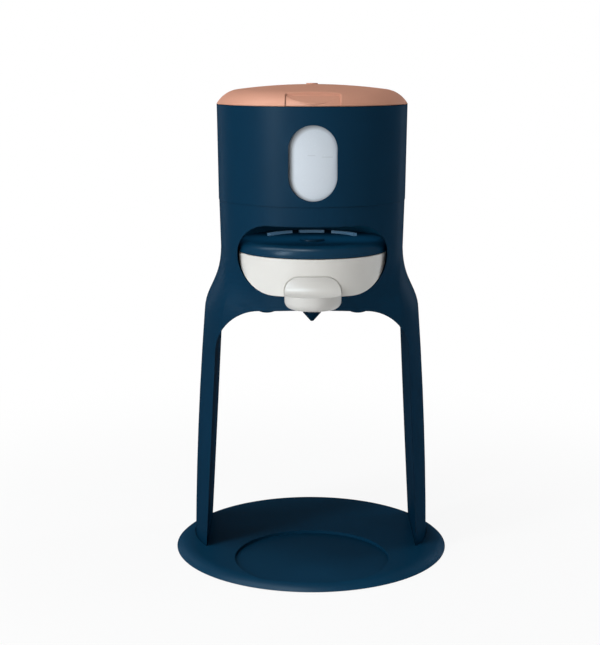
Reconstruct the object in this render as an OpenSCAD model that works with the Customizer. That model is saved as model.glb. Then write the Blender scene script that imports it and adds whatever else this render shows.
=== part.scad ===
// Baby formula maker: a round base, a two-legged stand and a round head. The head holds a heated
// water tank under a hinged lid, a valve, a spray head and a pull-out powder drawer.
// Millimetres, +Z up, front towards -Y. Origin: centre of the face that the base stands on.

/* [Base] */
// Radius of the round base
base_r = 100; // [97:1:112]
// Height of the base's top face
base_h = 5.5; // [5:0.1:9]
// Width of the rounded rim, seen from above
rim_run = 11; // [6:0.5:12]
// Height left at the base's outer edge
rim_edge = 0.9; // [0.5:0.1:1.4]
// Radius of the sunk bottle place
recess_r = 55; // [45:1:56]
// Distance of the bottle place's centre in front of the base's centre
recess_fwd = 44; // [36:1:48]
// Depth of the bottle place
recess_depth = 2.2; // [1:0.1:2.6]
// Middle radius of the anti-slip ring
ring_r = 70; // [60:1:73]
// Width of the anti-slip ring
ring_w = 7; // [4:0.5:8]
// Height by which the anti-slip ring lifts the base
ring_lift = 0.8; // [0.4:0.1:1.2]

/* [Stand] */
// Half of the distance over both legs at the base
foot_w = 87.4; // [85:0.5:90]
// Radius of a leg's outer face, seen from above
leg_arc_r = 76; // [70:1:90]
// Thickness of a leg
leg_t = 10.2; // [8.5:0.2:11.5]
// Bulge of a leg's outline beyond a straight line
leg_bow = 1.44; // [0:0.1:3]
// Distance of the legs' middle behind the base's centre
foot_back = 17; // [10:1:19]
// Width by which the shoulders stand out from the waist
shoulder_out = 12.5; // [9:0.5:15]
// Height of the arch at its crown
arch_h = 192.3; // [170:0.1:215]
// Radius of the arch's corners
arch_corner_r = 35; // [25:1:38]
// Radius of the arch's crown
arch_crown_r = 250; // [200:10:400]

/* [Head] */
// Distance of the head's axis in front of the base's centre
head_fwd = 20; // [14:1:26]
// Radius of the waist
waist_r = 63.9; // [63:0.2:67]
// Growth of the radius from the waist to the seam
seam_grow = 0.9; // [0.4:0.1:2]
// Growth of the radius from the seam to the lid
rim_grow = 0.8; // [0.2:0.1:2]
// Wall of the stand's ring and of the tank casing
wall = 2.5; // [2:0.1:2.8]
// Height of the drawer opening
mouth_h = 46.2; // [45:0.2:54]
// Height of the ring over the drawer opening
band_h = 13; // [11:0.2:16]
// Height of the tank casing
casing_h = 65.1; // [60:0.1:80]
// Thickness of the floor over the arch's crown
floor_t = 9.5; // [6:0.1:11]

/* [Window] */
// Width of the window
window_w = 32; // [24:1:36]
// Height of the window
window_h = 49.7; // [42:0.5:54]
// Thickness of the window pane
pane_t = 1.5; // [1:0.1:1.8]

/* [Lid] */
// Height of the lid's crest over its lower edge
lid_rise = 13.1; // [11:0.1:15]
// Radius of the lid's crown
lid_crown_r = 390; // [360:5:600]
// Radius of the lid's rounded edge
lid_edge_r = 20; // [17:1:24]
// Wall of the lid
lid_t = 2.2; // [1.6:0.1:2.6]
// Width of the finger scoop
scoop_w = 35; // [28:1:40]
// Depth of the finger scoop, seen from above
scoop_d = 10.5; // [8:0.5:12]
// Radius of the hinge pin
pin_r = 1.5; // [1.2:0.1:1.8]

/* [Drawer] */
// Radius of the drawer's front and back, seen from above
bowl_r = 52; // [51:0.5:53]
// Width of the powder drawer
bowl_w = 100.6; // [96:0.2:101]
// Height of the powder drawer
bowl_h = 25; // [24.6:0.1:27]
// Radius of the drawer's lower corners, seen from the front
bowl_corner_r = 24.4; // [18:0.2:24.6]
// Wall of the drawer
bowl_t = 2; // [1.5:0.1:2.5]
// Distance of the drawer's back behind the head's axis
bowl_back = 34; // [31:0.5:36]
// Width of the grip
grip_w = 37.3; // [30:0.1:42]
// Length by which the grip stands out from the drawer
grip_out = 22; // [17:0.5:26]
// Height of the grip where it meets the drawer
grip_h = 20; // [17:0.5:21]
// Height by which the grip hangs below the drawer
grip_drop = 6.5; // [4:0.1:7.5]
// Gap between the drawer and its housing
drawer_gap = 0.6; // [0.5:0.1:1]

/* [Panel] */
// Height of the panel
panel_h = 7.5; // [7.2:0.1:9]
// Radius of the panel's rounded edge
panel_edge_r = 6; // [3:0.5:6.5]
// Radius of the start button
button_r = 8.2; // [7:0.2:10]
// Height by which the button stands out of the panel
button_proud = 1.8; // [1.6:0.1:2.6]
// Travel of the start button
button_travel = 1.5; // [0.8:0.1:1.5]
// Radius of the arc on which the light bars lie
bar_arc_r = 32.6; // [30:0.2:34]
// Width of a light bar
bar_w = 2.6; // [1.6:0.1:3]
// Height by which a light bar stands out of the panel
bar_rise = 1.9; // [0.5:0.1:2.2]

/* [Heating] */
// Radius of the heater plate
heater_r = 38; // [32:1:40]
// Outer radius of the tank at its floor
tank_r = 58.4; // [56:0.2:58.8]
// Wall of the tank
tank_t = 2; // [1.4:0.1:2.4]
// Radius of the valve's plunger
plunger_r = 3.5; // [3:0.1:4]
// Travel of the valve's plunger
plunger_travel = 2; // [1:0.1:2.5]

/* [Hidden] */
$fn = 96;

NAVY = "#12314f";
DARK = "#0c2034";
COPPER = "#cf8f78";
WHITE = "#ece6dd";
PALE = "#cdd7e2";
STEEL = "#b9bcc0";
RUBBER = "#2b2d30";
BOARD = "#2f6b45";

tiny = 0.01;        // overlap of shapes that are joined into one piece
snug = 0.1;         // clearance of pieces that are fitted together
running = 0.05;     // radial clearance of a piece that slides or turns in a bore
lid_gap = 0.3;      // gap under the closed lid

// Heights
waist_z = arch_h + 35;              // where the head is slimmest
leg_top_z = arch_h - 11;            // where the shoulders begin
floor_z = arch_h + floor_t;         // top of the floor in the drawer opening
mouth_z = floor_z + mouth_h;        // top of the drawer opening
deck_t = 2.5;
deck_z = mouth_z + deck_t;          // top of the deck that carries the tank
seam_z = mouth_z + band_h;          // seam between the stand's ring and the casing
rim_z = seam_z + casing_h;          // upper edge of the casing
lid_z = rim_z + lid_gap;            // lower edge of the lid

// The head
head_y = -head_fwd;
seam_r = waist_r + seam_grow;
seam_step = 0.3;                    // the casing stands out by this much at the seam
casing_r = seam_r + seam_step;
rim_r = casing_r + rim_grow;
inner_r = waist_r - wall;           // inside of the stand's ring

// The legs
foot_z = base_h - 2;                // the feet stand in sockets of this depth
socket_gap = 0.5;
leg_top_w = waist_r + shoulder_out;
leg_half_depth = sqrt(pow(leg_arc_r, 2) - pow(leg_arc_r - leg_t, 2));
shoulder_steps = 13;
leg_steps = 6;
shoulder_low = 17;                  // how far the curve follows the leg before it turns in
shoulder_high = 25;                 // how far it follows the waist

// Drawer and its housing
bowl_y = head_y + bowl_back - bowl_r;
bowl_half = bowl_w / 2;
well_r = bowl_r + drawer_gap;
well_half = bowl_half + drawer_gap;
well_t = 2;
rail_h = 0.3;
bowl_z = floor_z + rail_h + 0.2;
bowl_rim_z = bowl_z + bowl_h;

// Panel
panel_z = bowl_rim_z + 0.5;
panel_top = panel_z + panel_h;
panel_wall = 1.6;
panel_in_z = panel_z + panel_wall;          // inside of the panel's cover
panel_roof = panel_top - panel_wall;        // inside of the panel's top
board_t = 1;
board_z = panel_in_z + board_t;
button_y = bowl_y - 15.5;
bars_y = bowl_y - 4;
button_flange_h = 1;
spray_y = bowl_y + 8;
spray_r = 8;

// Heater, tank and valve
heater_t = 1.5;
seal_t = 2;
tank_floor_z = seam_z + 5;                  // underside of the tank
heater_z = tank_floor_z - seal_t - heater_t;
tank_hole_r = heater_r - 6;
tank_top_z = rim_z - 3.5;
spigot_r = 2;
spigot_bore = 1.1;
valve_r = 6;
valve_low = panel_z - 10;
valve_high = mouth_z - 5;
port_z = (panel_in_z + panel_roof) / 2;     // height of the tube that runs through the panel
tube_r = 1.7;
hose_r = 3.5;
coil_gap = 1.9;                             // gap before and behind the valve's coil
coil_r = (head_y + inner_r - bowl_y - well_r - well_t) / 2 - coil_gap;
coil_h = 10;
coil_end = 1;
valve_y = head_y + inner_r - coil_gap - coil_r;

// Lid and hinge
hinge_y = head_y + rim_r + 3.6;
hinge_z = rim_z + 1.8;
knuckle_r = 3;
knuckle_half = 6;                           // half of the middle knuckle's width
hinge_half = 13.5;                          // half of the whole hinge's width
crest_z = lid_z + lid_rise;
vent_r = 4;
crown_y = crest_z - lid_crown_r;            // height of the crown's centre
edge_x = rim_r - 17.2 * lid_edge_r / 20;    // radius on which the rounded edge's centre lies
edge_z = crown_y + sqrt(pow(lid_crown_r - lid_edge_r, 2) - pow(edge_x, 2));

// Half-width of a leg's outer face at height z
function leg_w(z) = let(u = z / leg_top_z)
    foot_w + (leg_top_w - foot_w) * u + 4 * leg_bow * u * (1 - u);
// Middle of a leg, front to back, at height z
function leg_y(z) = foot_back + (head_y - foot_back) * min(1, z / waist_z);
// Point t of a cubic curve through four control points
function cubic(p, t) = pow(1 - t, 3) * p[0] + 3 * t * pow(1 - t, 2) * p[1]
    + 3 * t * t * (1 - t) * p[2] + pow(t, 3) * p[3];
// Slope of the leg's outline where the shoulder begins
leg_slope = (leg_top_w - foot_w - 4 * leg_bow) / leg_top_z;
shoulder_z = [leg_top_z, leg_top_z + shoulder_low, waist_z - shoulder_high, waist_z];
shoulder_w = [leg_top_w, leg_top_w + shoulder_low * leg_slope + 0.7, waist_r + 0.7, waist_r];
// ---- shared shapes ----

// A tube with its axis along Z
module tube(r_out, r_in, z0, z1) {
    translate([0, 0, z0]) difference() {
        cylinder(r = r_out, h = z1 - z0);
        translate([0, 0, -1]) cylinder(r = r_in, h = z1 - z0 + 2);
    }
}

// A disc with its axis along Z
module disc(r, z0, z1) {
    translate([0, 0, z0]) cylinder(r = r, h = z1 - z0);
}

// A cylinder along Y from y0 to y1
module along_y(r, y0, y1, x = 0, z = 0) {
    translate([x, y1, z]) rotate([90, 0, 0]) cylinder(r = r, h = y1 - y0);
}

// A cylinder along X
module along_x(r, x0, x1, y = 0, z = 0) {
    translate([x0, y, z]) rotate([0, 90, 0]) cylinder(r = r, h = x1 - x0);
}

// A strip with two rounded lower corners that ends where they end
module cup_outline(half, r) {
    intersection() {
        union() {
            for (side = [-1, 1]) translate([side * (half - r), r]) circle(r = r);
            translate([-half + r, 0]) square([2 * (half - r), r + 1]);
        }
        translate([-half, 0]) square([2 * half, r + tiny]);
    }
}

module at_head() { translate([0, head_y, 0]) children(); }
module at_bowl() { translate([0, bowl_y, 0]) children(); }

// A slot that is bent along an arc over the drawer
module arc_bar(a0, a1, grow, z0, z1) {
    translate([0, bars_y, z0]) linear_extrude(z1 - z0) {
        difference() {
            circle(r = bar_arc_r + bar_w / 2 + grow);
            circle(r = bar_arc_r - bar_w / 2 - grow);
            for (a = [a1, a0 + 180]) rotate(a) translate([-200, grow]) square([400, 200]);
        }
    }
}

// A coil spring along Z, wound from flat end to flat end
module coil_spring(r, wire, turns, z0, z1) {
    sides = 6;
    per_turn = 14;
    rings = round(turns * per_turn);
    run = z1 - z0 - wire * 2;
    function centre(i) = let(a = 360 * i / per_turn)
        [r * cos(a), r * sin(a), z0 + wire + run * i / rings];
    points = [for (i = [0:rings], k = [0:sides - 1])
        let(c = centre(i), a = 360 * i / per_turn, b = 360 * k / sides)
        [c[0] + wire * cos(b) * cos(a), c[1] + wire * cos(b) * sin(a), c[2] + wire * sin(b)]];
    skin = [for (i = [0:rings - 1], k = [0:sides - 1]) let(n = (k + 1) % sides)
        each [[i * sides + k, (i + 1) * sides + k, (i + 1) * sides + n],
              [i * sides + k, (i + 1) * sides + n, i * sides + n]]];
    first = [for (k = [1:sides - 2]) [0, k, k + 1]];
    last = [for (k = [1:sides - 2]) [rings * sides, rings * sides + k + 1, rings * sides + k]];
    polyhedron(points = points, faces = concat(skin, first, last));
}

// ---- base ----

// The base's outline from the axis outwards, with its rounded rim
module base_profile() {
    drop = base_h - rim_edge;
    arc_r = (rim_run * rim_run + drop * drop) / (2 * drop);
    translate([0, ring_lift]) square([base_r - rim_run, base_h - ring_lift]);
    intersection() {
        translate([base_r - rim_run, base_h - arc_r]) circle(r = arc_r);
        translate([base_r - rim_run - 1, ring_lift]) square([rim_run + 1, base_h]);
        square([base_r, base_h]);
    }
}

// The section of a leg where it meets the base
module foot_outline(grow) {
    w = leg_w(foot_z);
    intersection() {
        translate([w - leg_arc_r, leg_y(foot_z)]) circle(r = leg_arc_r + grow);
        translate([w - leg_t - grow, leg_y(foot_z) - leg_half_depth - grow])
            square([leg_t + 3 * grow, 2 * (leg_half_depth + grow)]);
    }
}

// Places of the two screws under each leg
module at_leg_screws() {
    for (side = [-1, 1], k = [-1, 1])
        translate([side * (leg_w(0) - leg_t * 0.58), leg_y(0) + k * leg_half_depth * 0.47, 0])
            children();
}
screw_r = 1.75;
screw_head_r = 3.2;
screw_z = ring_lift + 0.2;

module base_plate() color(NAVY) difference() {
    rotate_extrude() base_profile();
    intersection() {
        translate([0, -recess_fwd, base_h - recess_depth]) cylinder(r = recess_r, h = base_h);
        translate([0, 0, base_h - recess_depth - 1]) cylinder(r = base_r - rim_run + 3.5, h = base_h);
    }
    tube(ring_r + ring_w / 2 + snug, ring_r - ring_w / 2 - snug, -1, ring_lift + 0.6);
    for (side = [0, 1]) mirror([side, 0, 0])
        translate([0, 0, foot_z]) linear_extrude(base_h) foot_outline(socket_gap);
    at_leg_screws() {
        cylinder(r = screw_r + snug, h = base_h);
        cylinder(r = screw_head_r + snug, h = screw_z + 1.2);
    }
}

module anti_slip_ring() color(RUBBER)
    tube(ring_r + ring_w / 2, ring_r - ring_w / 2, 0, ring_lift + 0.6);

module leg_screws() color(STEEL) at_leg_screws() {
    disc(screw_head_r, screw_z, screw_z + 1.2);
    disc(screw_r, screw_z, screw_z + 16);
}

// ---- stand ----

// The arch between the legs, seen from the front
module arch_outline() {
    corner_x = leg_w(leg_top_z) - leg_t - arch_corner_r + 1;
    corner_z = arch_h - pow(corner_x, 2) / (2 * arch_crown_r) - arch_corner_r;
    half_flat = corner_x * 0.9;
    hull() {
        for (side = [-1, 1]) {
            translate([side * corner_x, corner_z]) circle(r = arch_corner_r, $fn = 64);
            translate([side * (leg_w(0) - leg_t), 0]) circle(r = tiny, $fn = 4);
        }
        polygon([for (i = [-6:6]) let(x = half_flat * i / 6)
            [x, arch_h - pow(x, 2) / (2 * arch_crown_r)]]);
    }
    translate([-leg_w(0) + leg_t, -20]) square([2 * (leg_w(0) - leg_t), 20]);
}

// The stand is blended through level outlines: each is the tightest curve round the head's circle
// and the outer arcs of both legs. A level is [height, half-width, circle's radius, arcs' half depth].
// The first and last levels lie beyond the ends, which are then cut flat.
stand_spare = 2;
function stand_levels() = let(deep = leg_half_depth + 6, low = foot_z - stand_spare) concat(
    [for (k = [0:leg_steps - 1]) let(z = low + (leg_top_z - low) * k / leg_steps)
        [z, leg_w(z), waist_r, deep]],
    [for (k = [0:shoulder_steps]) let(t = k / shoulder_steps)
        [cubic(shoulder_z, t), cubic(shoulder_w, t), waist_r, deep * sqrt(max(0.02, 1 - t * t))]],
    [[seam_z, seam_r, seam_r, 1], [seam_z + stand_spare, seam_r, seam_r, 1]]);
// How far a level reaches in direction a, measured from the point midway between the legs
function reach(level, a) = let(
    c = abs(cos(a)), s = sin(a),
    limit = asin(level[3] / leg_arc_r),
    bend = level[1] - leg_arc_r,
    circle_reach = (head_y - leg_y(level[0])) * s + level[2],
    arc_reach = abs(atan2(s, c)) <= limit ? bend * c + leg_arc_r
        : (bend + leg_arc_r * cos(limit)) * c + level[3] * abs(s))
    max(circle_reach, arc_reach);
// The level's outline as points at equal angles
function level_outline(level, count) = [for (k = [0:count - 1])
    let(a = 360 * k / count, r = min([for (d = [-75:2.5:75]) reach(level, a + d) / cos(d)]))
    [r * cos(a), leg_y(level[0]) + r * sin(a), level[0]]];

module stand_body() {
    count = 120;
    levels = stand_levels();
    top = len(levels) - 1;
    points = [for (level = levels) each level_outline(level, count)];
    skin = [for (i = [0:top - 1], k = [0:count - 1])
        let(n = (k + 1) % count, low = i * count, high = low + count)
        each [[low + k, high + k, high + n], [low + k, high + n, low + n]]];
    polyhedron(points = points, faces = concat(skin,
        [[for (k = [0:count - 1]) k]], [[for (k = [count - 1:-1:0]) top * count + k]]));
}

// The drawer opening, seen from the front: it follows the drawer below and is rounded above
module mouth_outline() {
    low_r = bowl_corner_r + drawer_gap;
    translate([0, floor_z]) cup_outline(well_half, low_r);
    translate([0, mouth_z]) mirror([0, 1]) cup_outline(well_half, mouth_h - low_r);
}

module stand_frame() color(NAVY) difference() {
    intersection() {
        stand_body();
        translate([-150, -150, foot_z]) cube([300, 300, seam_z - foot_z]);
    }
    translate([0, 200, 0]) rotate([90, 0, 0]) linear_extrude(400) arch_outline();
    at_head() disc(inner_r, floor_z, seam_z + 1, $fn = 72);
    translate([0, bowl_y, 0]) rotate([90, 0, 0]) linear_extrude(200) mouth_outline();
    at_leg_screws() disc(screw_r + snug, 0, screw_z + 17, $fn = 24);
    at_plugs() disc(plug_r + snug, arch_h - 20, plug_top + snug, $fn = 32);
    at_bowl() disc(nozzle_r + snug, arch_h - 5, floor_z + 1, $fn = 32);
    along_y(gland_r + snug, head_y, head_y + 100, 0, gland_z, $fn = 32);
}

// Two round plugs close the assembly holes under the head
plug_r = 8.4;
plug_top = arch_h - 0.6;
plug_out = 3.2;             // the plug's round end begins this far below the arch's crown
module at_plugs() {
    for (side = [-1, 1]) translate([side * 31, bowl_y - 20, 0]) children();
}
module hole_plugs() color(NAVY) at_plugs() {
    bead_r = 14.5;
    low = arch_h - plug_out;
    disc(plug_r, low, plug_top);
    intersection() {
        translate([0, 0, low + sqrt(bead_r * bead_r - plug_r * plug_r)]) sphere(r = bead_r);
        disc(plug_r, low - bead_r, low + tiny);
    }
}

// ---- drawer housing ----

// The housing's outline, seen from above: round behind the drawer, straight beside it
module well_plan(grow) {
    intersection() {
        circle(r = well_r + grow);
        translate([-well_half - grow, -100]) square([2 * (well_half + grow), 200]);
    }
}

module drawer_well() color(DARK) {
    intersection() {
        difference() {
            at_bowl() translate([0, 0, floor_z]) linear_extrude(mouth_h) well_plan(well_t);
            at_bowl() translate([0, 0, floor_z - 1]) linear_extrude(mouth_h + 2) well_plan(0);
            translate([-well_half, bowl_y - 100, floor_z - 1]) cube([2 * well_half, 100, mouth_h + 2]);
            along_y(tube_r + snug, bowl_y, head_y + 100, 0, port_z);
        }
        at_head() disc(inner_r - snug, floor_z, mouth_z);
    }
    for (side = [-1, 1]) translate([side * 22 - 1.5, bowl_y, floor_z])
        cube([3, sqrt(pow(well_r, 2) - 625) + 1.5, rail_h]);
}

module outlet_nozzle() color(DARK) at_bowl() difference() {
    union() {
        disc(nozzle_r, nozzle_low, floor_z - snug);
        disc(nozzle_r + 3, arch_h - 2.4, arch_h - 0.25);
        translate([0, 0, nozzle_low - 6]) cylinder(r1 = 1, r2 = nozzle_r, h = 6);
    }
    translate([0, 0, nozzle_low - 7]) cylinder(r = 0.6, h = 8);
    translate([0, 0, nozzle_low]) cylinder(r1 = 0.6, r2 = nozzle_r - 1.2, h = floor_z - nozzle_low);
}
nozzle_r = 6.3;
nozzle_low = arch_h - 9.5;

module deck_plate() color(DARK) difference() {
    at_head() disc(inner_r - snug * 2, mouth_z, deck_z);
    translate([0, valve_y, mouth_z - 1]) cylinder(r = hose_r + 0.5, h = deck_t + 2);
    translate([24, head_y + 42, mouth_z - 1]) cylinder(r = 3, h = deck_t + 2);
}

// ---- tank casing ----

module stadium(w, h, r) {
    hull_y = (h - w) / 2;
    translate([-w / 2, -hull_y]) square([w, 2 * hull_y]);
    for (side = [-1, 1]) translate([0, side * hull_y]) circle(r = w / 2);
}

window_z = seam_z + 3.7 + window_h / 2;

// The room inside the casing, drawn in by a clearance
module casing_inside(inset) {
    at_head() translate([0, 0, seam_z - 1])
        cylinder(r1 = casing_r - wall - inset, r2 = rim_r - wall - inset, h = casing_h + 2);
}

module tank_casing() color(NAVY) {
    difference() {
        at_head() translate([0, 0, seam_z]) cylinder(r1 = casing_r, r2 = rim_r, h = casing_h);
        casing_inside(0);
        translate([0, head_y, window_z]) rotate([90, 0, 0])
            linear_extrude(100) stadium(window_w, window_h);
    }
    at_head() tube(inner_r - snug, inner_r - 2, deck_z + 2, seam_z + 1.5);
    at_head() tube(casing_r - wall + 0.4, inner_r - 2, seam_z + tiny, seam_z + 1.5);
    difference() {
        union() {
            along_x(knuckle_r, -knuckle_half + snug, knuckle_half - snug, hinge_y, hinge_z);
            translate([-knuckle_half + snug, head_y + rim_r - 1.2, rim_z - 9])
                cube([2 * (knuckle_half - snug), hinge_y + knuckle_r - head_y - rim_r + 1.2,
                    hinge_z - rim_z + 9]);
        }
        along_x(pin_r + running, -20, 20, hinge_y, hinge_z);
        translate([-20, hinge_y + knuckle_r, rim_z - 20]) rotate([-38, 0, 0]) translate([0, 0, -20])
            cube([40, 30, 30]);
        translate([-20, head_y + rim_r - 3, rim_z]) cube([40, 3.6, 20]);
    }
}

module sight_window() color(PALE, 0.7) intersection() {
    difference() {
        casing_inside(running);
        casing_inside(running + pane_t);
    }
    translate([0, head_y, window_z]) rotate([90, 0, 0])
        linear_extrude(100) stadium(window_w + 4, window_h + 4);
}

// ---- tank and heater ----

module water_tank() color(PALE, 0.5) {
    grow = rim_grow;
    at_head() difference() {
        translate([0, 0, tank_floor_z])
            cylinder(r1 = tank_r, r2 = tank_r + grow, h = tank_top_z - tank_floor_z);
        translate([0, 0, tank_floor_z + tank_t])
            cylinder(r1 = tank_r - tank_t, r2 = tank_r + grow - tank_t, h = tank_top_z - tank_floor_z);
        disc(tank_hole_r, tank_floor_z - 1, tank_floor_z + tank_t + 1);
        translate([0, valve_y - head_y, tank_floor_z - 1]) cylinder(r = spigot_bore, h = 5);
    }
    translate([0, valve_y, 0]) tube(spigot_r, spigot_bore, tank_floor_z - 9, tank_floor_z + tiny);
}

module tank_seal() color(RUBBER)
    at_head() tube(heater_r - 0.5, tank_hole_r + 0.5, tank_floor_z - seal_t, tank_floor_z);

module heater_plate() color(STEEL)
    at_head() disc(heater_r, heater_z, heater_z + heater_t);

// An open ring of tube with two straight terminals
module heating_element() color("#8d8f92") at_head() {
    ring = heater_r - 12;
    r = 3;
    rotate(110) rotate_extrude(angle = 320) translate([ring, heater_z - r]) circle(r = r, $fn = 32);
    for (a = [110, 70]) rotate(a) translate([ring, 0, heater_z - r]) sphere(r = r - tiny, $fn = 32);
}

module heater_support() color(DARK) at_head() difference() {
    disc(heater_r + 4, deck_z, tank_floor_z);
    disc(heater_r - 3, deck_z - 1, tank_floor_z + 1);
    disc(heater_r + snug, heater_z, tank_floor_z + 1);
}

module thermostat() color(STEEL) at_head() {
    disc(7, heater_z - 2, heater_z);
    disc(9, heater_z - 6.5, heater_z - 2);
    for (side = [-1, 1]) translate([side * 5.5 - 0.4, -2, heater_z - 9]) cube([0.8, 4, 3]);
}

module thermal_fuse() color("#d8d2c4") at_head()
    along_x(1.8, -5, 5, -16, heater_z - 1.8);

module inlet_tube() color("#e8e8e8")
    translate([0, valve_y, 0]) tube(hose_r, spigot_r + running, valve_high + 0.5, tank_floor_z - 0.5);

// ---- valve ----

module valve_body() color("#d9dadc") translate([0, valve_y, 0]) {
    difference() {
        union() {
            disc(valve_r, valve_low, valve_high);
            disc(spigot_r, valve_high - tiny, valve_high + 6);
            along_y(tube_r, -valve_r - 3, 0, 0, port_z);
        }
        disc(plunger_r + running, valve_low + 2, valve_high - 2.5);
        disc(spigot_bore, valve_high - 3, valve_high + 7);
        along_y(spigot_bore, -20, 0, 0, port_z);
    }
}

module valve_coil() color("#7a3f22") translate([0, valve_y, 0])
    difference() {
        union() {
            disc(coil_r, valve_low, valve_low + coil_end);
            disc(coil_r - 1, valve_low + coil_end, valve_low + coil_h - coil_end);
            disc(coil_r, valve_low + coil_h - coil_end, valve_low + coil_h);
        }
        disc(valve_r + snug, valve_low - 1, valve_low + coil_h + 1);
    }

module valve_plunger() color(STEEL) translate([0, valve_y, 0])
    disc(plunger_r, valve_low + 7, valve_high - 2.5 - snug);

module valve_spring() color(STEEL) translate([0, valve_y, 0])
    coil_spring(plunger_r - 0.9, 0.35, 3, valve_low + 2, valve_low + 7);

module outlet_tube() color("#e8e8e8") difference() {
    along_y(tube_r, spray_y + 0.5, valve_y - valve_r - 3, 0, port_z);
    along_y(spigot_bore, spray_y, valve_y, 0, port_z);
}

module spray_head() color("#d9dadc") translate([0, spray_y, 0]) difference() {
    union() {
        disc(spray_r, panel_z, panel_in_z + snug);
        disc(3.6, panel_in_z, panel_roof - snug);
    }
    disc(1, panel_z + 1, port_z);
    along_y(tube_r + running, 0, 10, 0, port_z);
    for (k = [0:7]) rotate(45 * k + 22.5) translate([5.5, 0, panel_z - 1]) cylinder(r = 0.5, h = 8);
}

// ---- control panel ----

module panel_profile() {
    translate([0, panel_z]) square([bowl_r - panel_edge_r, panel_h]);
    translate([0, panel_z]) square([bowl_r, panel_h - panel_edge_r]);
    translate([bowl_r - panel_edge_r, panel_top - panel_edge_r]) circle(r = panel_edge_r);
}

module control_panel() color(NAVY) difference() {
    union() {
        intersection() {
            at_bowl() rotate_extrude() intersection() {
                panel_profile();
                translate([0, panel_z]) square([bowl_r, panel_h]);
            }
            translate([-bowl_half, bowl_y - 100, panel_z]) cube([bowl_w, 200, panel_h]);
        }
        intersection() {
            at_bowl() translate([0, 0, panel_z]) linear_extrude(panel_h - 3) well_plan(0);
            translate([-100, bowl_y + 6, panel_z]) cube([200, 200, panel_h]);
        }
    }
    at_bowl() disc(bowl_r - panel_wall - 3.4, panel_in_z - tiny, panel_roof);
    at_bowl() disc(bowl_r - panel_wall - 1, panel_z - 1, panel_in_z);
    for (a = LIGHTS) arc_bar(a[0], a[1], snug, panel_roof - 1, panel_top + 1);
    translate([0, button_y, panel_roof - 1]) cylinder(r = button_r + 0.25, h = 10);
    along_y(tube_r + snug, bowl_y + 20, head_y + 100, 0, port_z);
}

// First and last angle of each light bar
LIGHTS = [[23, 64], [74, 106], [116, 157]];

module panel_base() color(DARK) difference() {
    at_bowl() disc(bowl_r - panel_wall - 1.1, panel_z, panel_in_z);
    translate([0, spray_y, panel_z - 1]) cylinder(r = spray_r + snug, h = 10);
}

module panel_board() color(BOARD) difference() {
    at_bowl() disc(bowl_r - panel_wall - 5, panel_in_z, board_z);
    translate([0, spray_y, panel_in_z - 1]) cylinder(r = spray_r + 0.5, h = 10);
    translate([-tube_r - 0.6, spray_y, panel_in_z - 1]) cube([2 * tube_r + 1.2, bowl_r + tube_r, 10]);
}

module light_guides() color(PALE) for (a = LIGHTS)
    arc_bar(a[0], a[1], 0, panel_roof - 0.4, panel_top + bar_rise);

module status_lamps() color(WHITE) for (a = LIGHTS, k = [-1, 1])
    translate([0, bars_y, 0]) rotate((a[0] + a[1]) / 2 + k * (a[1] - a[0]) / 4)
        translate([bar_arc_r - 1, -1, board_z]) cube([2, 2, 1.2]);

module push_button() color(NAVY) translate([0, button_y, 0]) {
    low = board_z + button_travel + 0.15;
    top = panel_top + button_proud;
    difference() {
        union() {
            disc(button_r, low, top - 1);
            disc(button_r + 1, low, low + button_flange_h);
            rotate_extrude() intersection() {
                union() {
                    translate([0, top - 2]) square([button_r - 1, 2]);
                    translate([button_r - 1, top - 1]) circle(r = 1);
                }
                translate([0, top - 2]) square([button_r, 2]);
            }
        }
        disc(button_r - 1.5, low - 1, top - 1.6);
        translate([0, 0, top + 30 - 0.6]) sphere(r = 30);
    }
    disc(1.5, board_z + 0.9 + button_travel + 0.1, top - 1.6 + tiny);
}

module button_spring() color(STEEL) translate([0, button_y, 0])
    coil_spring(4.5, 0.3, 3, board_z, panel_top + button_proud - 1.6);

module button_switch() color(RUBBER) translate([0, button_y, 0])
    disc(2, board_z, board_z + 0.9);

// ---- rear of the head ----

// The power board stands on the floor behind the drawer's housing, close to the ring's wall
pcb_w = 34;
pcb_h = 40;
pcb_t = 1.6;
transformer = [14, 9, 14];
relay = [8, 6, 10];
capacitor_r = 4;
module power_board() color(BOARD) at_head() rotate(-44) {
    back = sqrt(pow(inner_r - 1, 2) - pow(pcb_w / 2, 2)) - pcb_t;
    translate([-pcb_w / 2, back, floor_z]) {
        cube([pcb_w, pcb_t, pcb_h]);
        translate([5, -transformer[1], 6]) cube(transformer);
        translate([22, -relay[1], 8]) cube(relay);
        translate([9, 0, 30]) rotate([90, 0, 0]) cylinder(r = capacitor_r, h = 2 * capacitor_r);
    }
}

gland_r = 4;
gland_z = floor_z + gland_r + 2.5;
module cord_inlet() color(RUBBER) difference() {
    union() {
        along_y(gland_r, head_y + inner_r - 2.5, head_y + waist_r + 2, 0, gland_z);
        along_y(gland_r + 2.5, head_y + waist_r + 0.15, head_y + waist_r + 2.5, 0, gland_z);
        along_y(gland_r + 1.5, head_y + inner_r - 3, head_y + inner_r - 1, 0, gland_z);
    }
    along_y(2.8, head_y, head_y + 100, 0, gland_z);
}

// ---- lid ----

module hinge_pin() color(STEEL)
    along_x(pin_r, -hinge_half, hinge_half, hinge_y, hinge_z);

// The lid's outline from the axis outwards, drawn in by a wall
module lid_profile(inset) {
    touch = edge_x * lid_crown_r / (lid_crown_r - lid_edge_r);
    intersection() {
        union() {
            intersection() {
                translate([0, crown_y]) circle(r = lid_crown_r - inset);
                translate([0, lid_z - 1]) square([touch, 30]);
            }
            translate([edge_x, edge_z]) circle(r = lid_edge_r - inset);
        }
        translate([0, lid_z - 1]) square([100, 60]);
    }
}

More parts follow.
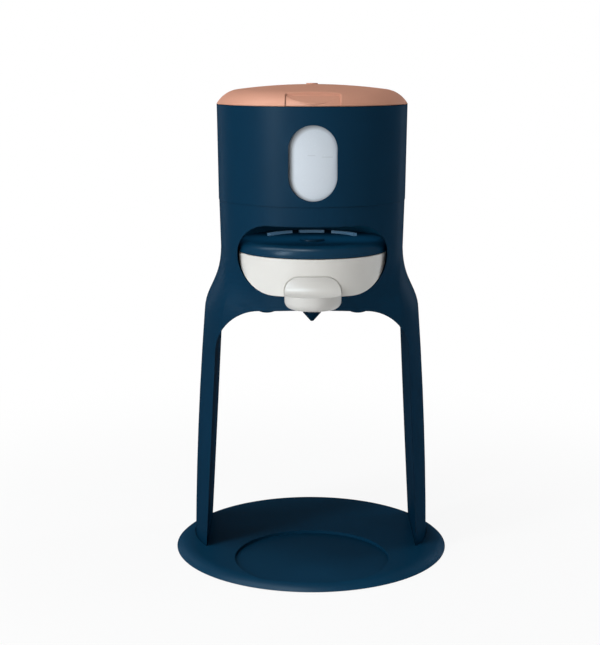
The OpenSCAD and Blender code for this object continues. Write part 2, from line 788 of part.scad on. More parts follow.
// Half-moon of the finger scoop, seen from above. The rim round it is set back a little, so that the
// scoop's front edge stands out as a tab.
scoop_in = 1.4;             // distance of the tab's tip from the lid's edge
tab_step = 0.9;
module scoop_outline(grow) {
    r = (pow(scoop_w / 2, 2) + scoop_d * scoop_d) / (2 * scoop_d);
    chord = head_y - rim_r + scoop_in + scoop_d;
    intersection() {
        translate([0, chord - scoop_d + r]) circle(r = r + grow);
        translate([-scoop_w, chord - 50]) square([2 * scoop_w, 50 + grow]);
    }
}

module lid() color(COPPER) difference() {
    union() {
        at_head() difference() {
            intersection() {
                rotate_extrude() lid_profile(0);
                disc(200, lid_z, lid_z + 40);
            }
            rotate_extrude() lid_profile(lid_t);
        }
        at_head() disc(vent_r, crest_z - 1, crest_z + 0.7);
        for (side = [0, 1]) mirror([side, 0, 0]) {
            along_x(knuckle_r, knuckle_half + snug, hinge_half, hinge_y, hinge_z);
            translate([knuckle_half + snug, head_y + rim_r - 4, lid_z])
                cube([hinge_half - knuckle_half - snug, hinge_y - head_y - rim_r + 4, 3.2]);
        }
        intersection() {
            at_head() rotate_extrude() lid_profile(lid_t / 2);
            translate([0, 0, lid_z + 1.6]) linear_extrude(20) scoop_outline(1.5);
        }
    }
    along_x(pin_r + running, -20, 20, hinge_y, hinge_z);
    intersection() {
        translate([0, 0, lid_z]) linear_extrude(40) scoop_outline(0);
        translate([-50, head_y - rim_r, lid_z + 1.3]) rotate([25, 0, 0]) cube([100, 60, 40]);
    }
    intersection() {
        at_head() rotate_extrude() difference() {
            lid_profile(-1);
            lid_profile(tab_step);
        }
        translate([0, 0, lid_z - 1]) linear_extrude(40) difference() {
            translate([-scoop_w / 2 - 0.6, head_y - rim_r - 5])
                square([scoop_w + 1.2, scoop_d + scoop_in + 4.2]);
            scoop_outline(0);
        }
    }
    at_head() disc(1.2, lid_z + 2, crest_z + 5);
}

module lid_liner() color(WHITE) at_head() {
    plug = tank_r - tank_t - 2;
    disc(rim_r - wall - 1.5, lid_z + 0.1, lid_z + 1.4);
    difference() {
        disc(plug, tank_top_z - 1.2, lid_z + 0.2);
        disc(plug - 2, tank_top_z - 2, lid_z - 1);
    }
}

module lid_seal() color("#dfe3e6") at_head()
    tube(tank_r - tank_t - 0.3, tank_r - tank_t - 2 + tiny, tank_top_z - 0.8, tank_top_z + 1.4);

// ---- drawer ----

// Front outline of the drawer, drawn in by a wall
module bowl_outline(inset) {
    r = bowl_corner_r - inset;
    half = bowl_half - inset;
    translate([0, bowl_z + inset]) cup_outline(half, r);
    translate([-half, bowl_z + bowl_corner_r]) square([2 * half, bowl_h - bowl_corner_r + inset]);
}

// The drawer's form: the front outline drawn back along Y, with a round front and back
module bowl_form(inset) {
    intersection() {
        translate([0, 100, 0]) rotate([90, 0, 0]) linear_extrude(200) bowl_outline(inset);
        disc(bowl_r - inset, bowl_z, bowl_rim_z + inset);
    }
}

module drawer_bowl() color(WHITE) at_bowl() difference() {
    bowl_form(0);
    bowl_form(bowl_t);
    disc(4.5, bowl_z - 1, bowl_z + 5);
    difference() {
        rotate([90, 0, 0]) linear_extrude(bowl_r + 5) grip_front(grip_gap);
        disc(bowl_r - grip_seat, bowl_z - 20, bowl_rim_z + 5);
    }
}

// The grip is set into the drawer's wall by this depth, with a fine gap round it
grip_seat = 0.8;
grip_gap = 0.4;
grip_low = bowl_z - grip_drop;
grip_lower_r = 5;

// Front outline of the grip
module grip_front(grow) {
    corner = 10.5;
    half = grip_w / 2 + grow;
    top = grip_low + grip_h + grow;
    translate([-half, grip_low - grow]) square([2 * half, grip_h - corner + 2 * grow]);
    translate([-half + corner, grip_low]) square([2 * (half - corner), grip_h + grow]);
    for (side = [-1, 1]) translate([side * (half - corner), top - corner]) circle(r = corner);
}

// One half of the grip's section across, with its rounded lower edge
module grip_section() {
    r = grip_lower_r;
    square([grip_w / 2 - r, grip_h + 1]);
    translate([0, r]) square([grip_w / 2, grip_h + 1 - r]);
    translate([grip_w / 2 - r, r]) circle(r = r);
}

// The dished top of the grip rises to the drawer in a cove
module grip_cove() {
    cove_r = 9;
    dish_r = 110;
    near = bowl_r + 0.2 + cove_r;
    low = grip_low + grip_h * 0.4525;
    rotate_extrude() {
        translate([near, low + cove_r]) circle(r = cove_r);
        translate([near - cove_r, low + cove_r]) square([cove_r + 30, 20]);
        intersection() {
            translate([near, low + dish_r]) circle(r = dish_r, $fn = 240);
            translate([near, low - 1]) square([30, cove_r + 2]);
        }
    }
}

module drawer_handle() color(WHITE) difference() {
    nose = bowl_y - bowl_r - grip_out + grip_w / 2;
    back = bowl_y - bowl_half + 8;
    intersection() {
        union() {
            translate([0, nose, grip_low]) rotate(180) rotate_extrude(angle = 180) grip_section();
            for (side = [0, 1]) mirror([side, 0, 0]) translate([0, back, grip_low])
                rotate([90, 0, 0]) linear_extrude(back - nose) grip_section();
        }
        translate([0, back, 0]) rotate([90, 0, 0]) linear_extrude(60) grip_front(0);
    }
    at_bowl() grip_cove();
    at_bowl() disc(bowl_r - grip_seat + running, grip_low - 5, bowl_rim_z + 5);
}

module mixing_strainer() color("#e3ded6") at_bowl() difference() {
    strainer_r = bowl_half - bowl_corner_r - 1;
    pitch = (strainer_r - 3.9) / 3;
    disc(strainer_r, bowl_z + bowl_t, bowl_z + bowl_t + 2);
    disc(3, bowl_z, bowl_z + 10);
    for (ring = [1:3], k = [0:ring * 6 - 1]) rotate(360 * k / (ring * 6))
        translate([ring * pitch, 0, bowl_z]) cylinder(r = 1.2, h = 10);
}

base_plate();
anti_slip_ring();
leg_screws();
stand_frame();
drawer_well();
deck_plate();
hole_plugs();
outlet_nozzle();
tank_casing();
sight_window();
water_tank();
tank_seal();
heater_plate();
heating_element();
heater_support();
thermostat();
thermal_fuse();
inlet_tube();
valve_body();
valve_coil();
valve_plunger();
valve_spring();
outlet_tube();
spray_head();
control_panel();
panel_base();
panel_board();
light_guides();
status_lamps();
push_button();
button_spring();
button_switch();
power_board();
cord_inlet();
hinge_pin();
lid();
lid_liner();
lid_seal();
drawer_bowl();
drawer_handle();
mixing_strainer();
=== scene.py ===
# %% [markdown]
# # A baby formula maker
#
# The machine stands on a round base. Two slim legs carry a round head. The head holds a water
# tank under a copper-pink lid, a panel with a start button, and a white powder drawer with a
# short grip.
#
# Its solids come from the packed model, the frame. They have every shape of the machine, down to
# the springs, so nothing is modelled here. This notebook adds what a mould, a spray gun and a
# printing machine add to the real one: finishes, a fine texture and two printed marks. Blender's
# unit is the metre, so lengths on the machine are written as a number of millimetres times MM.

# %% Load the frame
import math

import bpy
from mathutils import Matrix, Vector


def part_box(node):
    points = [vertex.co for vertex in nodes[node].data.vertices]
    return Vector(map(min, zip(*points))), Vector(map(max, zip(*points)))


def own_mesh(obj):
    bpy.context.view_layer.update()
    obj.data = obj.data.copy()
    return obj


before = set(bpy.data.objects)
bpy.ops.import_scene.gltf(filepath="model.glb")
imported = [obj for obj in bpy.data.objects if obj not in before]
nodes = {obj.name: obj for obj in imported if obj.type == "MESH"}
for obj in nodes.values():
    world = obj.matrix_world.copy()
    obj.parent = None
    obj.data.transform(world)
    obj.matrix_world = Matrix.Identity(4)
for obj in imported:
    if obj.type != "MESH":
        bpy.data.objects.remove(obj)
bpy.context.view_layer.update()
MM = 0.001

# %% [markdown]
# ## The camera
#
# The photograph was taken from the front and a little above, with a long lens. The curves that
# the round head and base show at seven heights gave the distance, the tilt and the lens. The
# window and the grip sit a little to the right of the round body's middle, so the lens stood
# about a centimetre to the left. A camera can also be moved sideways with its shift, but a small
# turn does the same here and behaves like a real tripod head, so the shift stays at zero.

# %% Camera
LENS = 76.1  # focal length in millimetres
STAND = (-0.01, -0.9744, 0.3565)
TILT_DOWN = 10.94  # degrees
TURN = -0.1  # degrees
NEAREST = 10 * MM

camera = bpy.data.objects.new("camera", bpy.data.cameras.new("camera"))
bpy.context.scene.collection.objects.link(camera)
camera.data.lens = LENS
camera.data.clip_start = NEAREST
camera.location = STAND
camera.rotation_euler = (math.radians(90 - TILT_DOWN), 0, math.radians(TURN))
bpy.context.scene.camera = camera
bpy.context.scene.view_settings.view_transform = "Standard"
print("camera at", tuple(camera.location), "lens", camera.data.lens, "mm")

# %% [markdown]
# ## Shader maths as Python
#
# A material's nodes can be clicked together by hand, but then nobody can read them later. Here
# one small class wraps an output socket and answers to Python's operators, so `1 - mask * 0.3`
# adds the two Math nodes that it says. The reflected forms, such as `__rsub__`, are what Python
# calls when the plain number stands on the left. Colours and vectors don't go through it: a Math
# node would turn a colour grey, so those use Mix and Vector Math.


# %% Socket wrapper
class Value:
    """An output socket of a material. Python's operators on it add Math nodes."""

    def __init__(self, shader, socket):
        self.shader = shader
        self.socket = socket

    def maths(self, operation, *values):
        return self.shader.node("Math", {"operation": operation}, dict(enumerate(values)))

    def __add__(self, other):
        return self.maths("ADD", self, other)

    def __sub__(self, other):
        return self.maths("SUBTRACT", self, other)

    def __rsub__(self, other):
        return self.maths("SUBTRACT", other, self)

    def __mul__(self, other):
        return self.maths("MULTIPLY", self, other)

    def __truediv__(self, other):
        return self.maths("DIVIDE", self, other)

    def __rtruediv__(self, other):
        return self.maths("DIVIDE", other, self)

    def __pow__(self, other):
        return self.maths("POWER", self, other)

    def __rpow__(self, other):
        return self.maths("POWER", other, self)

    def __abs__(self):
        return self.maths("ABSOLUTE", self)

    def __lt__(self, other):
        return self.maths("LESS_THAN", self, other)

    def at_least(self, other):
        return self.maths("MAXIMUM", self, other)

    __radd__ = __add__
    __rmul__ = __mul__


print("reflected operators:", " ".join(name for name in vars(Value) if name.startswith("__r")))

# %% [markdown]
# ## One builder for every material
#
# Each finish is one Principled shader with a few nodes in front of it. The builder makes the
# material, sets what is the same all over the surface directly on the shader's sockets, and adds
# any node with one method. All noise is laid out in the object's own metres. The solids share one
# origin, so the grain has the same size on every piece and needs no unwrapping.


# %% Material builder
class Shader:
    """A new material and its Principled shader. Sockets named in constants are set directly."""

    def __init__(self, name, constants):
        self.material = bpy.data.materials.new(name)
        self.material.use_nodes = True
        self.tree = self.material.node_tree
        self.surface = self.tree.nodes["Principled BSDF"]
        for socket, value in constants.items():
            self.put(self.surface, socket, value)

    def put(self, node, socket, value):
        """Links a Value to a socket, or sets the socket to a plain number or colour."""
        target = node.inputs[socket]
        if isinstance(value, Value):
            self.tree.links.new(value.socket, target)
        elif target.type == "RGBA":
            target.default_value = (*value[:3], 1)
        else:
            target.default_value = value

    def node(self, kind, settings=None, sockets=None, output=0):
        """Adds a node: first its settings, then its sockets. A ramp's stops are {place: level}."""
        made = self.tree.nodes.new("ShaderNode" + kind)
        for name, value in (settings or {}).items():
            if name == "stops":
                self.set_stops(made.color_ramp.elements, value)
            else:
                setattr(made, name, value)
        for socket, value in (sockets or {}).items():
            self.put(made, socket, value)
        return Value(self, made.outputs[output])

    def set_stops(self, elements, stops):
        """Sets a ramp's stops to grey levels. A new ramp has two, so the rest are added."""
        while len(elements) < len(stops):
            elements.new(0.5)
        for element, (place, level) in zip(elements, sorted(stops.items())):
            element.position = place
            element.color = (level, level, level, 1)

    def place(self):
        """The point on the object, in metres, the same for every piece."""
        return self.node("TexCoord", output="Object")

    def axis(self, name):
        """One coordinate of the point, in metres."""
        return self.node("SeparateXYZ", sockets={"Vector": self.place()}, output=name)

    def noise(self, size, detail=2, stretch=(1, 1, 1)):
        """Cloudy noise from 0 to 1 whose features are about `size` metres across."""
        where = self.node("Mapping", sockets={"Vector": self.place(), "Scale": stretch})
        sockets = {"Vector": where, "Scale": 1 / size, "Detail": detail}
        return self.node("TexNoise", sockets=sockets)

    def ramp(self, value, stops):
        """Grey levels between stops, and the first or last level beyond them."""
        return self.node("ValToRGB", {"stops": stops}, {"Fac": value})

    def blend(self, factor, low, high):
        """Mixes two colours."""
        return self.node("Mix", {"data_type": "RGBA"}, {0: factor, 6: low, 7: high}, output=2)

    def facing(self):
        """1 where the surface faces the viewer, 0 where it turns away."""
        return 1 - self.node("LayerWeight", sockets={"Blend": 0.5}, output="Facing")

    def bump(self, height, depth, edge=0):
        """A bump of `depth` metres. With an edge radius, sharp edges are rounded to it as well."""
        sockets = {"Height": height, "Distance": depth, "Strength": 1}
        if edge:
            sockets["Normal"] = self.node("Bevel", {"samples": 4}, {"Radius": edge})
        return self.node("Bump", sockets=sockets)

    def finish(self, **links):
        """Links the surface's varying sockets and returns the material."""
        for name, value in links.items():
            self.put(self.surface, name.replace("_", " ").title(), value)
        return self.material


print("builder:", ", ".join(name for name in vars(Shader) if not name.startswith("_")))

# %% [markdown]
# ## Moulded plastic
#
# Every plastic piece of the machine comes out of a steel mould whose face was spark-eroded to a
# fine matte grain. Up close that grain shows as tiny soft pits, and over the whole piece the
# sheen changes a little where the plastic flowed. A noise of half a millimetre drives the bump,
# and a broad one changes colour and roughness by a few hundredths. Every mould edge has a small
# radius, which catches a thin line of light: the Bevel node gives that to the sharp edges of the
# solids.
#
# So fine a grain also scatters the mirror-like shine that smooth plastic has at a low angle. A
# white studio would turn the navy sides grey through that shine, so it comes from a thin coat
# that fades where the surface turns away, and only a little of it stays for the bright line at
# the outline.
#
# The base plate, the panel over the drawer, the liner behind the drawer and the grip have levels
# of their own, which are painted light and shade. The base plate is painted lighter than the head,
# as painted light on its top. The panel over the drawer is glossier, and is painted a little
# lighter as painted light in the opening. The liner behind the drawer is painted lighter so that
# it still reads in its own shadow, and the grip is painted a shade greyer than the drawer, as
# painted shade.

# %% Moulded plastic
GRAIN_SIZE = 0.45 * MM
FLOW_SIZE = 35 * MM
FLOW_TONE, GRAIN_TONE = 0.7, 0.3  # how much each noise has of the colour's unevenness
FLOW_SHEEN, GRAIN_SHEEN = 0.08, 0.1  # how far each noise moves the roughness
OUTLINE_COAT = 0.015  # the coat that stays where the surface turns away


def scaled(colour, factor):
    """A colour with each channel multiplied, but not past 1."""
    return [min(1, channel * factor) for channel in colour]


def moulded(name, colour, roughness, gloss, depth=0.012 * MM, edge=0.5 * MM, tone=0.12):
    """A moulded plastic with pits of `depth`, an `edge` radius and an uneven `tone` of colour."""
    shader = Shader(name, {"Specular IOR Level": gloss["base"], "Coat Roughness": gloss["blur"]})
    flow = shader.noise(FLOW_SIZE, 1)
    grain = shader.noise(GRAIN_SIZE, 2)
    uneven = flow * FLOW_TONE + grain * GRAIN_TONE
    return shader.finish(
        base_color=shader.blend(uneven, scaled(colour, 1 - tone), scaled(colour, 1 + tone)),
        roughness=roughness + (flow - 0.5) * FLOW_SHEEN + (grain - 0.5) * GRAIN_SHEEN,
        coat_weight=shader.facing() ** 2 * gloss["coat"] + OUTLINE_COAT,
        normal=shader.bump(grain, depth, edge),
    )


MATTE = {"base": 0.0, "coat": 0.12, "blur": 0.38}
GLOSSY = {"base": 0.0, "coat": 0.2, "blur": 0.3}
SATIN = {"base": 0.2, "coat": 0.1, "blur": 0.3}
POLISHED = {"depth": 0.004 * MM, "tone": 0.015}  # the white mouldings come from a smoother mould

navy = moulded("navy plastic", (0.0024, 0.028, 0.062), 0.6, MATTE, edge=0.9 * MM)
# painted light: the base plate's navy, lighter than the head's
plate = moulded("navy plate", (0.004, 0.043, 0.092), 0.6, MATTE)
# painted light: a little lighter than the head's navy, and glossier
cover = moulded("panel cover", (0.003, 0.034, 0.073), 0.55, GLOSSY)
dark = moulded("dark plastic", (0.002, 0.02, 0.044), 0.6, MATTE)
# painted light: the liner, lighter so that it reads in its own shadow
lining = moulded("lining plastic", (0.007, 0.07, 0.14), 0.6, MATTE)
white = moulded("white plastic", (0.8, 0.77, 0.725), 0.35, SATIN, **POLISHED)
# painted shade: the grip's white, greyer than the drawer's
grip_painted_greyer = moulded("grip plastic", (0.7, 0.675, 0.64), 0.35, SATIN, **POLISHED)
inner = moulded("inner plastic", (0.72, 0.73, 0.75), 0.45, SATIN, tone=0.02)
plastics = (navy, plate, cover, dark, lining, white, grip_painted_greyer, inner)
print("moulded:", ", ".join(material.name for material in plastics))

# %% [markdown]
# ## The lid's copper-pink paint
#
# The lid is sprayed with a pearl paint: fine flakes in a pink-brown base, under a satin clear
# coat. The flakes are far smaller than a pixel, so they show as a soft sheen and slight clouds of
# colour. A fine noise varies how metallic the surface is, by a few hundredths only. A strongly
# metallic paint was tried first: it mirrored the lamps, and the left of the lid clipped to white.

# %% Pearl paint
FLAKE_SIZE = 0.5 * MM
CLOUD_SIZE = 30 * MM
FLAKE_TONE, CLOUD_TONE = 0.6, 0.4  # how much each noise has of the colour's unevenness
METAL, FLAKE_METAL = 0.03, 0.05  # how metallic the base is, and what the flakes add
PAINT_COAT = 0.05
DEEP_COPPER, PALE_COPPER = (0.58, 0.275, 0.185), (0.69, 0.35, 0.25)

pearl = Shader("copper pearl paint", {"Specular IOR Level": 0.0, "Coat Roughness": 0.25})
flakes = pearl.noise(FLAKE_SIZE, 1)
clouds = pearl.noise(CLOUD_SIZE, 1)
copper = pearl.finish(
    base_color=pearl.blend(
        flakes * FLAKE_TONE + clouds * CLOUD_TONE, DEEP_COPPER, PALE_COPPER
    ),
    metallic=METAL + flakes * FLAKE_METAL,
    roughness=0.5 + flakes * 0.08,
    coat_weight=pearl.facing() ** 2 * PAINT_COAT,
    normal=pearl.bump(flakes, depth=0.006 * MM, edge=1.1 * MM),
)
print("paint:", copper.name)

# %% [markdown]
# ## Clear and milky plastic
#
# The tank and the window are clear plastic, but what they show in the photograph is a pale
# blue-grey: the frosted face scatters the light that comes through. Real glass shaders need many
# samples and look black where no light is behind them, so these are a plain milky surface. The
# tank lets a little more than half of the light through with its alpha, and the window and the
# light bars none. The light bars are the same plastic in a deeper blue, as they look while they
# are off.


# %% Milky plastic
MIST_SIZE, FROST_SIZE = 20 * MM, 0.6 * MM
MIST_TONE = 0.97  # the mist's darker parts against the colour
# painted shade: the colour where the painted shade is full
PAINTED_SHADE_TONE = 0.35  # fully shaded plastic against the colour
FROST_SHEEN = 0.08


def milky(name, colour, alpha, roughness, shade=None):
    """A milky plastic. `shade` takes the shader and gives the share, from 0 to 1, of painted
    shade.
    """
    shader = Shader(name, {"Specular IOR Level": 0.5, "Alpha": alpha})
    mist = shader.noise(MIST_SIZE, 2)
    frost = shader.noise(FROST_SIZE, 1)
    tint = shader.blend(mist, scaled(colour, MIST_TONE), colour)
    if shade:
        # painted shade: the tint darkens by the share that `shade` gives
        tint = shader.blend(shade(shader), tint, scaled(colour, PAINTED_SHADE_TONE))
    return shader.finish(
        base_color=tint,
        roughness=roughness + frost * FROST_SHEEN,
        normal=shader.bump(frost, depth=0.004 * MM),
    )


clear = milky("clear plastic", (0.66, 0.72, 0.78), 0.45, 0.12)
diffuser = milky("light bar", (0.14, 0.29, 0.45), 1.0, 0.3)
print("milky:", clear.name, "and", diffuser.name)

# %% [markdown]
# ## The window pane
#
# The pane sits deep in its opening. Its left and upper edges are painted darker, as a painted
# shadow of the opening's edge. Two short level marks are printed near the middle. Both could be
# pictures on the surface, but a rounded outline and two bars are easy to write as distances, which
# stay sharp at any size. The outline is a pill: two half circles joined by a straight part. A
# point's distance from it is its distance from the pill's middle line, less the half width. The
# pill of the painted shadow sits a little to the right and below the pane's middle, so the painted
# shadow shows at the upper left only.


# %% Window pane
HALF_WIDTH = 15.2 * MM
HALF_STRAIGHT = 9 * MM
# painted shadow: the pill and the ramp of the shade painted at the pane's upper left
SHADE_RIGHT, SHADE_DOWN = 1.3 * MM, 0.7 * MM  # the shade's pill against the pane's middle
SHADE_FROM, SHADE_TO = -2 * MM, 1 * MM  # where the shade begins and is full, across the outline
DEEPEST_PAINTED_SHADE = 0.8
MARKS = ((-1.0, 5.2, 5.0), (9.5, 4.2, 7.0))  # to the right, up, and length, in millimetres
MARK_HALF_HEIGHT = 0.35 * MM
MARK_INK = 0.16


def painted_shade_and_marks(shader):
    """A painted shadow at the pane's upper left edge, and two short printed level marks."""
    low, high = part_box("sight_window")
    across = shader.axis("X") - (low[0] + high[0]) / 2
    up = shader.axis("Z") - (low[2] + high[2]) / 2
    past_straight = (abs(up + SHADE_DOWN) - HALF_STRAIGHT).at_least(0)
    outside = ((across - SHADE_RIGHT) ** 2 + past_straight ** 2) ** 0.5 - HALF_WIDTH
    # painted shadow: the pane darkens towards its upper left edge
    edge = shader.ramp((outside - SHADE_FROM) / (SHADE_TO - SHADE_FROM), {0: 0, 1: DEEPEST_PAINTED_SHADE})
    marks = 0
    for right, height, length in MARKS:
        in_length = abs(across - right * MM) < length / 2 * MM
        in_height = abs(up - height * MM) < MARK_HALF_HEIGHT
        marks = in_length * in_height + marks
    return edge.at_least(marks * MARK_INK)


pane = milky("window pane", (0.7, 0.755, 0.82), 1.0, 0.22, painted_shade_and_marks)
print("pane:", pane.name, "with", len(pane.node_tree.nodes), "nodes")

# %% [markdown]
# ## Metal and winding
#
# The metal pieces are inside: they show when the lid is open, when the drawer is out or from
# below. Sheet and wire have scratches along the way they were drawn. A noise gets long scratches
# when its coordinates are squeezed along one axis, here to a twentieth. The valve's winding has
# the same finish in copper, with its lines running round.


# %% Metal and winding
SCRATCH_SIZE = 0.4 * MM
SCRATCH_TONE = 0.82  # a scratch against the bare metal
SCRATCH_SHEEN = 0.15


def brushed(name, colour, roughness, along):
    """A metal with scratches that are long on the axes where `along` is small."""
    shader = Shader(name, {"Metallic": 1.0})
    scratches = shader.noise(SCRATCH_SIZE, 2, along)
    return shader.finish(
        base_color=shader.blend(scratches, scaled(colour, SCRATCH_TONE), colour),
        roughness=roughness + scratches * SCRATCH_SHEEN,
        normal=shader.bump(scratches, depth=0.006 * MM, edge=0.2 * MM),
    )


steel = brushed("steel", (0.6, 0.61, 0.63), 0.25, (0.05, 1, 1))
wound = brushed("copper winding", (0.55, 0.23, 0.1), 0.3, (0.05, 0.05, 1))
print("metal:", steel.name, "and", wound.name)

# %% [markdown]
# ## Rubber, silicone and ceramic
#
# The ring under the base is black rubber, the seals and tubes are milky silicone, and the thermal
# fuse sits in a ceramic sleeve. All three are dull and slightly cloudy, with a powdery grain.
# They differ only in colour and roughness, so one function makes them.


# %% Rubber, silicone and ceramic
CLOUDY_SIZE, POWDER_SIZE = 4 * MM, 0.4 * MM
CLOUDY_TONE = 0.85  # the clouds' darker parts against the colour
CLOUDY_SHEEN = 0.1


def soft(name, colour, roughness):
    """A dull, slightly cloudy finish with a powdery grain."""
    shader = Shader(name, {"Specular IOR Level": 0.3})
    cloudy = shader.noise(CLOUDY_SIZE, 3)
    powder = shader.noise(POWDER_SIZE, 1)
    return shader.finish(
        base_color=shader.blend(cloudy, scaled(colour, CLOUDY_TONE), colour),
        roughness=roughness + cloudy * CLOUDY_SHEEN,
        normal=shader.bump(powder, depth=0.01 * MM, edge=0.3 * MM),
    )


rubber = soft("rubber", (0.03, 0.03, 0.034), 0.6)
silicone = soft("silicone", (0.72, 0.73, 0.75), 0.45)
ceramic = soft("ceramic sleeve", (0.7, 0.66, 0.56), 0.5)
print("dull:", ", ".join(material.name for material in (rubber, silicone, ceramic)))

# %% [markdown]
# ## Circuit board
#
# A board is glass-fibre laminate with copper tracks under green lacquer. The tracks show through
# as lighter lines and stand up by the copper's thickness. Nobody will read the circuit, so a
# brick pattern is enough: its joints give straight lines that meet at right angles, as tracks do.

# %% Circuit board
BRICK_SCALE = 160.0  # a brick is half a unit long, so this makes it 3 mm
TRACK_TONE, LACQUER_TONE = 0.6, 0.2  # how far tracks and lacquer move the green
BARE_GREEN, TRACK_GREEN = (0.03, 0.16, 0.07), (0.12, 0.34, 0.14)
TRACK_HEIGHT = 0.03 * MM

laminate = Shader("circuit board", {"Specular IOR Level": 0.5})
lacquer = laminate.noise(10 * MM, 2)
bricks = {"Vector": laminate.place(), "Scale": BRICK_SCALE}
tracks = laminate.node("TexBrick", sockets=bricks, output="Fac")
board = laminate.finish(
    base_color=laminate.blend(
        tracks * TRACK_TONE + lacquer * LACQUER_TONE, BARE_GREEN, TRACK_GREEN
    ),
    roughness=0.3 + lacquer * 0.1,
    normal=laminate.bump(tracks, TRACK_HEIGHT),
)
print("board:", board.name)

# %% [markdown]
# ## Which piece gets which finish
#
# A piece of one material has one material slot, and what is in the slot is its finish. The frame
# gives every piece a plain slot, so a finish only has to be put into it, and the shape isn't
# touched.

# %% Finishes on the solids
FINISHES = {
    navy: "stand_frame hole_plugs tank_casing",
    plate: "base_plate",
    cover: "control_panel push_button",
    dark: "outlet_nozzle heater_support panel_base",
    lining: "drawer_well deck_plate",
    copper: "lid",
    white: "lid_liner drawer_bowl",
    grip_painted_greyer: "drawer_handle",
    inner: "valve_body spray_head mixing_strainer",
    pane: "sight_window",
    clear: "water_tank",
    diffuser: "light_guides status_lamps",
    steel: "leg_screws heater_plate heating_element thermostat valve_plunger valve_spring"
    " button_spring hinge_pin",
    wound: "valve_coil",
    ceramic: "thermal_fuse",
    silicone: "tank_seal inlet_tube outlet_tube lid_seal",
    rubber: "anti_slip_ring button_switch cord_inlet",
    board: "panel_board power_board",
}
for material, names in FINISHES.items():
    for name in names.split():
        nodes[name].material_slots[0].material = material
print("finished nodes:", sum(len(names.split()) for names in FINISHES.values()))

# %% [markdown]
# ## The springs
#
# The start button and the valve's plunger each stand on a small coil spring. When the piece moves
# down by its travel, the spring would get shorter by as much and keep its foot where it is. An
# armature could do that, but a coil that is only pressed along its axis just gets flatter, so one
# scale would be enough. Here each spring gets a mesh of its own, and the share of its height that
# stays at full travel is worked out and printed.

# %% Springs
BUTTON_TRAVEL = 1.5 * MM
PLUNGER_TRAVEL = 2 * MM


def shorten(name, travel):
    """Gives a spring its own mesh, and returns the share of its height that stays when it is
    shortened by `travel` metres.
    """
    low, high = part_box(name)
    keep = 1 - travel / (high[2] - low[2])
    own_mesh(nodes[name])
    return round(keep, 3)


print("button spring keeps", shorten("button_spring", BUTTON_TRAVEL))
print("valve spring keeps", shorten("valve_spring", PLUNGER_TRAVEL))

# %% [markdown]
# ## A white studio that adds no light
#
# The background is pure white. White walls that really shone would wash out the navy, so the
# world and the floor are white only for the rays that look at them: the Light Path node tells
# those from the rays that carry light to the machine. Mirror and glass rays count as looking, so
# gloss and clear plastic show the same white. For all other rays the world is a dim grey, which
# fills the shadows.


# %% World
def seen_directly(tree):
    """A value of 1 for camera, mirror and glass rays, and 0 for the light that falls on things."""
    rays = tree.nodes.new("ShaderNodeLightPath")
    total = rays.outputs["Is Camera Ray"]
    for name in ("Is Glossy Ray", "Is Transmission Ray"):
        most = tree.nodes.new("ShaderNodeMath")
        most.operation = "MAXIMUM"
        tree.links.new(total, most.inputs[0])
        tree.links.new(rays.outputs[name], most.inputs[1])
        total = most.outputs[0]
    return total


def mix_by(tree, share, low, high, output):
    """Mixes two shaders by a share from 0 to 1 into the tree's output node."""
    mix = tree.nodes.new("ShaderNodeMixShader")
    for target, source in zip(mix.inputs, (share, low, high)):
        tree.links.new(source, target)
    tree.links.new(mix.outputs[0], tree.nodes[output].inputs["Surface"])


DIM = 0.13

world = bpy.data.worlds.new("studio")
bpy.context.scene.world = world
world.use_nodes = True
backdrop = world.node_tree.nodes["Background"]
backdrop.inputs["Color"].default_value = (DIM, DIM, DIM, 1)
bright = world.node_tree.nodes.new("ShaderNodeBackground")
bright.inputs["Color"].default_value = (1, 1, 1, 1)
looks = seen_directly(world.node_tree)
mix_by(world.node_tree, looks, backdrop.outputs[0], bright.outputs[0], "World Output")
print("world:", world.name, "with a dim light of", DIM)

# %% [markdown]
# ## The floor
#
# A floor that only glowed white would show no shadow, and the machine would seem to hang in the
# air. So near the base a tenth of it is an ordinary pale surface, on which the shadow falls.
# Farther away the glow takes over smoothly, and the floor meets the white background without a
# line.

# %% Floor
FLOOR_RADIUS = 6
GLOW_NEAR = 0.91
NEAR, FAR = 0.09, 0.6  # metres from the middle, between which the glow grows to 1

bpy.ops.mesh.primitive_circle_add(vertices=64, radius=FLOOR_RADIUS, fill_type="NGON")
floor = bpy.context.object
floor.name = "floor"
ground = Shader("floor", {"Base Color": (0.95, 0.95, 0.95), "Specular IOR Level": 0.0})
away = ground.node("VectorMath", {"operation": "LENGTH"}, {0: ground.place()}, output="Value")
growth = {"Value": away, "From Min": NEAR, "From Max": FAR}
grown = ground.node("MapRange", {"interpolation_type": "SMOOTHERSTEP"}, growth)
share = Value(ground, seen_directly(ground.tree)) * (GLOW_NEAR + (1 - GLOW_NEAR) * grown)
glow = ground.tree.nodes.new("ShaderNodeEmission")
own = ground.surface.outputs[0]
mix_by(ground.tree, share.socket, own, glow.outputs[0], "Material Output")
floor.data.materials.append(ground.material)
print("floor:", floor.name, "with a radius of", FLOOR_RADIUS, "m")

# %% [markdown]
# ## Lamps
#
# A photographer lights such a machine with soft boxes, and so does this scene. The key, a tall
# box to the left, and the top box light it as a whole. What a round, satin body shows is mostly
# their mirror image, though, and its strength has to be set apart from the light. Cycles can hide
# a lamp from one kind of ray, so the others come in two groups.
#
# Some give only soft light. The front box opens the shadows, the rim box keeps the right side
# from going black, and a tiny one above the panel stands for the light that bounces about in the
# opening.
#
# The others are seen only in reflections. The streak makes the broad bright band on the head, the
# gleam and the base gleam make the highlights on the panel's crown and on the base's front rim,
# and the two edge boxes behind the machine draw a thin line of light down its sides.

# %% Lamps
MIDDLE = (0, -0.02, 0.2)


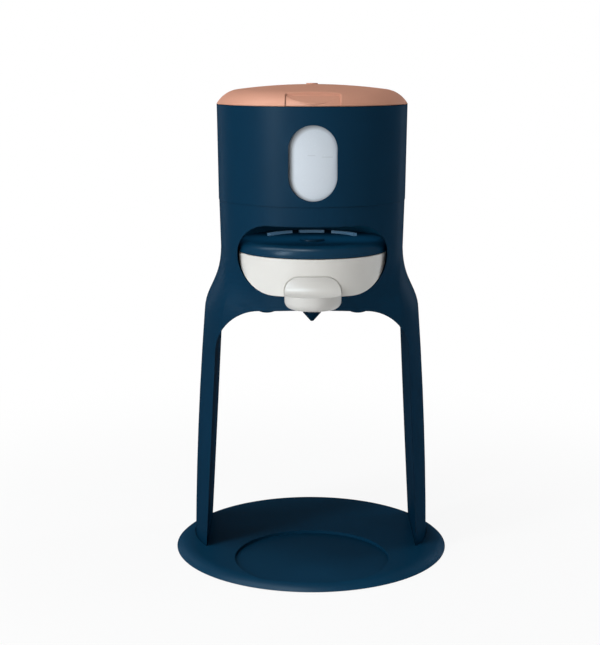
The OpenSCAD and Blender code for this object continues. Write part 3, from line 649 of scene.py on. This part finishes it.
def soft_box(name, place, size, power, colour, target=MIDDLE, only=None):
    """A rectangular lamp that looks at `target`. `only` limits it to soft light or to shine."""
    lamp = bpy.data.objects.new(name, bpy.data.lights.new(name, "AREA"))
    bpy.context.scene.collection.objects.link(lamp)
    lamp.data.shape = "RECTANGLE"
    lamp.data.size, lamp.data.size_y = size
    lamp.data.energy = power
    lamp.data.color = colour
    lamp.location = place
    aim = Vector(target) - lamp.location
    lamp.rotation_euler = aim.to_track_quat("-Z", "Y").to_euler()
    lamp.visible_camera = only is None
    lamp.visible_glossy = only != "soft light"
    lamp.visible_diffuse = only != "shine"
    return lamp


EDGE_SIZE, EDGE_BLUE = (0.3, 1.0), (0.75, 0.88, 1)
OVER_PANEL, PANEL = (0, -0.045, 0.2475), (0, -0.045, 0.2)
FRONT_RIM = (-0.046, -0.086, 0)

# name, place, width and height, power in watts, colour, and where it looks
lamps = [
    soft_box("key", (-1.12, -1.0, 0.85), (0.32, 1.3), 14, (0.88, 0.95, 1)),
    soft_box("top", (-0.3, -0.35, 1.6), (0.5, 0.3), 5, (1, 0.99, 0.97)),
]
soft_only = {"only": "soft light"}
lamps += [
    soft_box("front", (-0.55, -1.6, 0.3), (0.8, 0.4), 4.5, (1, 0.98, 0.95), **soft_only),
    soft_box("rim", (1.1, 0.35, 0.4), (0.3, 1.0), 4, (0.85, 0.93, 1), **soft_only),
    soft_box("opening", OVER_PANEL, (0.096, 0.036), 0.011, (0.9, 0.95, 1), PANEL, **soft_only),
]
shine_only = {"only": "shine"}
lamps += [
    soft_box("streak", (-1.05, -1.05, 0.85), (0.4, 1.3), 29, (0.7, 0.9, 1), **shine_only),
    soft_box("gleam", (-0.3, -0.35, 1.6), (0.5, 0.3), 20, (0.75, 0.92, 1), **shine_only),
    soft_box(
        "base gleam", (-0.6, 0.04, 1.03), (0.3, 0.5), 11, (0.75, 0.92, 1), FRONT_RIM, **shine_only
    ),
    soft_box("left edge", (-0.75, 0.95, 0.25), EDGE_SIZE, 9, EDGE_BLUE, **shine_only),
    soft_box("right edge", (0.75, 0.95, 0.25), EDGE_SIZE, 9, EDGE_BLUE, **shine_only),
]
print("lamps:", ", ".join(f"{lamp.name} {lamp.data.energy:g} W" for lamp in lamps))

# %% [markdown]
